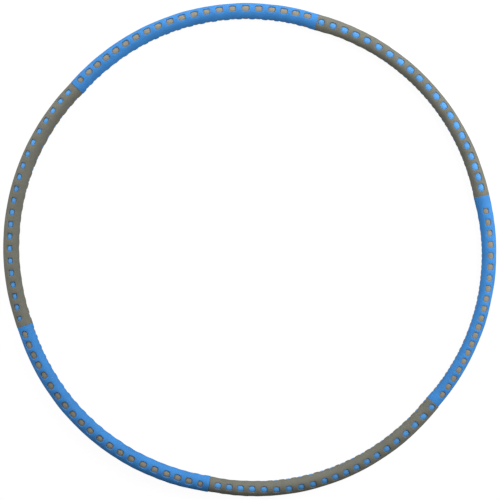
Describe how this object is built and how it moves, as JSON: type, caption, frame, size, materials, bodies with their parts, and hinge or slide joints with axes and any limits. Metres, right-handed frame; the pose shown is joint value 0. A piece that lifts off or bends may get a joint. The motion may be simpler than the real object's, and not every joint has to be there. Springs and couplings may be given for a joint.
{
  "type": "rhythmic hoop",
  "caption": "Round hoop of curved, foam-covered steel sections that plug together and lock with sprung buttons; windows in the outer foam show the contrast layer beneath.",
  "frame": {"origin": "centre of the hoop, half-way up the tube", "axes": "+Z along the hoop's axis, up as it lies flat with its snap buttons underneath; the short section is centred near -13 degrees from +X, and sections are numbered anticlockwise seen from +Z"},
  "size_m": [0.9496, 0.9491, 0.03],
  "materials": {
    "foam_taupe": "matte",
    "foam_blue": "matte",
    "core_steel": "satin",
    "stub_steel": "satin",
    "pin_steel": "satin",
    "spring_steel": "satin",
    "button_steel": "polished"
  },
  "bodies": {
    "section_1": {"outer_sleeve_1": "foam_taupe", "under_sleeve_1": "foam_blue", "core_tube_1": "core_steel", "coupling_stub_1": "stub_steel", "stub_pin_1": "pin_steel", "snap_spring_1": "spring_steel"},
    "button_1": {"snap_button_1": "button_steel"},
    "section_2": {"outer_sleeve_2": "foam_blue", "under_sleeve_2": "foam_taupe", "core_tube_2": "core_steel", "coupling_stub_2": "stub_steel", "stub_pin_2": "pin_steel", "snap_spring_2": "spring_steel"},
    "button_2": {"snap_button_2": "button_steel"},
    "section_3": {"outer_sleeve_3": "foam_taupe", "under_sleeve_3": "foam_blue", "core_tube_3": "core_steel", "coupling_stub_3": "stub_steel", "stub_pin_3": "pin_steel", "snap_spring_3": "spring_steel"},
    "button_3": {"snap_button_3": "button_steel"},
    "section_4": {"outer_sleeve_4": "foam_blue", "under_sleeve_4": "foam_taupe", "core_tube_4": "core_steel", "coupling_stub_4": "stub_steel", "stub_pin_4": "pin_steel", "snap_spring_4": "spring_steel"},
    "button_4": {"snap_button_4": "button_steel"},
    "section_5": {"outer_sleeve_5": "foam_taupe", "under_sleeve_5": "foam_blue", "core_tube_5": "core_steel", "coupling_stub_5": "stub_steel", "stub_pin_5": "pin_steel", "snap_spring_5": "spring_steel"},
    "button_5": {"snap_button_5": "button_steel"},
    "section_6": {"outer_sleeve_6": "foam_blue", "under_sleeve_6": "foam_taupe", "core_tube_6": "core_steel", "coupling_stub_6": "stub_steel", "stub_pin_6": "pin_steel", "snap_spring_6": "spring_steel"},
    "button_6": {"snap_button_6": "button_steel"}
  },
  "joints": [
    {"name": "joint_1_pull", "type": "slide", "parent": "section_1", "child": "section_2", "axis": [-0.9603, 0.279, 0], "range_m": [0, 0.045], "deforming": ["snap_button_1"]},
    {"name": "joint_2_pull", "type": "slide", "parent": "section_2", "child": "section_3", "axis": [-0.6833, -0.7302, 0], "range_m": [0, 0.045], "deforming": ["snap_button_2"]},
    {"name": "joint_3_pull", "type": "slide", "parent": "section_3", "child": "section_4", "axis": [0.3173, -0.9483, 0], "range_m": [0, 0.045], "deforming": ["snap_button_3"]},
    {"name": "joint_4_pull", "type": "slide", "parent": "section_4", "child": "section_5", "axis": [0.9848, -0.1736, 0], "range_m": [0, 0.045], "deforming": ["snap_button_4"]},
    {"name": "joint_5_pull", "type": "slide", "parent": "section_5", "child": "section_6", "axis": [0.6401, 0.7683, 0], "range_m": [0, 0.03888], "deforming": ["snap_button_5", "snap_button_6"]},
    {"name": "button_1_press", "type": "slide", "parent": "section_1", "child": "button_1", "axis": [0, 0, 1], "range_m": [0, 0.0024], "stiffness_N_per_m": 2000, "deforming": ["snap_spring_1"]},
    {"name": "button_2_press", "type": "slide", "parent": "section_2", "child": "button_2", "axis": [0, 0, 1], "range_m": [0, 0.0024], "stiffness_N_per_m": 2000, "deforming": ["snap_spring_2"]},
    {"name": "button_3_press", "type": "slide", "parent": "section_3", "child": "button_3", "axis": [0, 0, 1], "range_m": [0, 0.0024], "stiffness_N_per_m": 2000, "deforming": ["snap_spring_3"]},
    {"name": "button_4_press", "type": "slide", "parent": "section_4", "child": "button_4", "axis": [0, 0, 1], "range_m": [0, 0.0024], "stiffness_N_per_m": 2000, "deforming": ["snap_spring_4"]},
    {"name": "button_5_press", "type": "slide", "parent": "section_5", "child": "button_5", "axis": [0, 0, 1], "range_m": [0, 0.0024], "stiffness_N_per_m": 2000, "deforming": ["snap_spring_5"]},
    {"name": "button_6_press", "type": "slide", "parent": "section_6", "child": "button_6", "axis": [0, 0, 1], "range_m": [0, 0.0024], "stiffness_N_per_m": 2000, "deforming": ["snap_spring_6"]}
  ],
  "couplings": [
    {"joint": "joint_2_pull", "follows": "joint_1_pull", "ratio": 1},
    {"joint": "joint_3_pull", "follows": "joint_1_pull", "ratio": 1},
    {"joint": "joint_4_pull", "follows": "joint_1_pull", "ratio": 1},
    {"joint": "joint_5_pull", "follows": "joint_1_pull", "ratio": 0.864}
  ]
}
